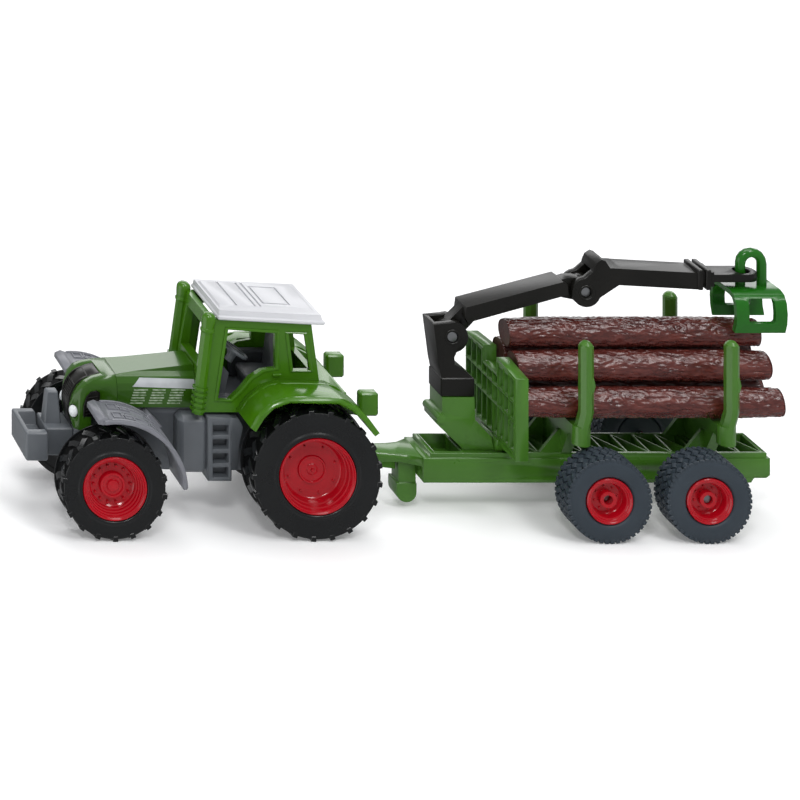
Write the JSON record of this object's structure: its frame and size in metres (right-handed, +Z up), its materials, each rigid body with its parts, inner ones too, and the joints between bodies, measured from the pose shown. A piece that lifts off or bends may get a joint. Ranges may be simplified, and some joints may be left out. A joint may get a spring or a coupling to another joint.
{
  "type": "toy tractor with log trailer",
  "caption": "Toy tractor with a hitched forestry trailer: turning wheels, a slewing log crane with boom, jib and grapple, and a sliding pile of logs.",
  "frame": {"origin": "middle of the bounding box at floor level, under the gap between tractor and crane", "axes": "+X from the tractor towards the trailer's tail, +Y to the right of the driver, +Z up"},
  "size_m": [0.1798, 0.039, 0.061],
  "materials": {
    "tractor_green": "glossy paint",
    "trailer_green": "satin-gloss paint",
    "crane_green": "glossy",
    "grey_plastic": "satin moulded",
    "black_plastic": "satin moulded",
    "white_plastic": "satin moulded",
    "red_rim": "glossy",
    "tractor_tyre": "semi-gloss",
    "trailer_tyre": "matt",
    "steel": "bright",
    "lamp_white": "glossy",
    "log_brown": "glossy moulded bark"
  },
  "bodies": {
    "tractor": {"nose_cowl": "tractor_green", "bonnet": "tractor_green", "grille": "black_plastic", "side_vent_left": "black_plastic", "side_vent_right": "black_plastic", "headlight_left": "lamp_white", "headlight_right": "lamp_white", "cab_frame": "tractor_green", "roof": "white_plastic", "cab_interior": "grey_plastic", "steering_wheel": "grey_plastic", "rear_fenders": "tractor_green", "front_fender_left": "grey_plastic", "front_fender_right": "grey_plastic", "chassis_base": "grey_plastic", "front_weight": "grey_plastic", "weight_bracket": "grey_plastic", "tow_hitch": "grey_plastic"},
    "trailer": {"trailer_frame": "trailer_green", "support_leg": "trailer_green", "headboard": "trailer_green", "crane_pedestal": "trailer_green", "front_bunk": "trailer_green", "rear_bunk": "trailer_green"},
    "crane_column": {"crane_column": "black_plastic", "boom_pin": "steel"},
    "boom": {"boom": "black_plastic"},
    "jib": {"jib": "black_plastic", "elbow_pin": "steel"},
    "grapple": {"grapple": "crane_green"},
    "logs": {"log_1": "log_brown", "log_2": "log_brown", "log_3": "log_brown", "log_4": "log_brown", "log_5": "log_brown", "log_6": "log_brown"},
    "front_wheels": {"front_axle": "steel", "front_tyre_left": "tractor_tyre", "front_tyre_right": "tractor_tyre", "front_rim_left": "red_rim", "front_rim_right": "red_rim"},
    "rear_wheels": {"rear_axle": "steel", "rear_tyre_left": "tractor_tyre", "rear_tyre_right": "tractor_tyre", "rear_rim_left": "red_rim", "rear_rim_right": "red_rim"},
    "trailer_front_wheels": {"trailer_front_axle": "steel", "trailer_front_tyre_left": "trailer_tyre", "trailer_front_tyre_right": "trailer_tyre", "trailer_front_rim_left": "red_rim", "trailer_front_rim_right": "red_rim"},
    "trailer_rear_wheels": {"trailer_rear_axle": "steel", "trailer_rear_tyre_left": "trailer_tyre", "trailer_rear_tyre_right": "trailer_tyre", "trailer_rear_rim_left": "red_rim", "trailer_rear_rim_right": "red_rim"}
  },
  "joints": [
    {"name": "front_axle_spin", "type": "hinge", "parent": "tractor", "child": "front_wheels", "pos_m": [-0.0725, 0, 0.01235], "axis": [0, 1, 0], "continuous": true},
    {"name": "rear_axle_spin", "type": "hinge", "parent": "tractor", "child": "rear_wheels", "pos_m": [-0.0256, 0, 0.0152], "axis": [0, 1, 0], "continuous": true},
    {"name": "hitch_yaw", "type": "hinge", "parent": "tractor", "child": "trailer", "pos_m": [-0.0125, 0, 0.0124], "axis": [0, 0, 1], "range_deg": [-40, 40]},
    {"name": "trailer_front_axle_spin", "type": "hinge", "parent": "trailer", "child": "trailer_front_wheels", "pos_m": [0.0415, 0, 0.0099], "axis": [0, 1, 0], "continuous": true},
    {"name": "trailer_rear_axle_spin", "type": "hinge", "parent": "trailer", "child": "trailer_rear_wheels", "pos_m": [0.0646, 0, 0.0099], "axis": [0, 1, 0], "continuous": true},
    {"name": "crane_slew", "type": "hinge", "parent": "trailer", "child": "crane_column", "pos_m": [0.01325, 0, 0.027], "axis": [0, 0, 1], "range_deg": [-110, 110]},
    {"name": "boom_lift", "type": "hinge", "parent": "crane_column", "child": "boom", "pos_m": [0.0121, 0, 0.041], "axis": [0, -1, 0], "range_deg": [0, 50]},
    {"name": "jib_fold", "type": "hinge", "parent": "boom", "child": "jib", "pos_m": [0.0439, 0, 0.05145], "axis": [0, -1, 0], "range_deg": [0, 35]},
    {"name": "grapple_swivel", "type": "hinge", "parent": "jib", "child": "grapple", "pos_m": [0.0821, 0, 0.0547], "axis": [0, 0, 1], "range_deg": [-17, 17]},
    {"name": "log_load_slide", "type": "slide", "parent": "trailer", "child": "logs", "axis": [1, 0, 0], "range_m": [0, 0.02]}
  ]
}
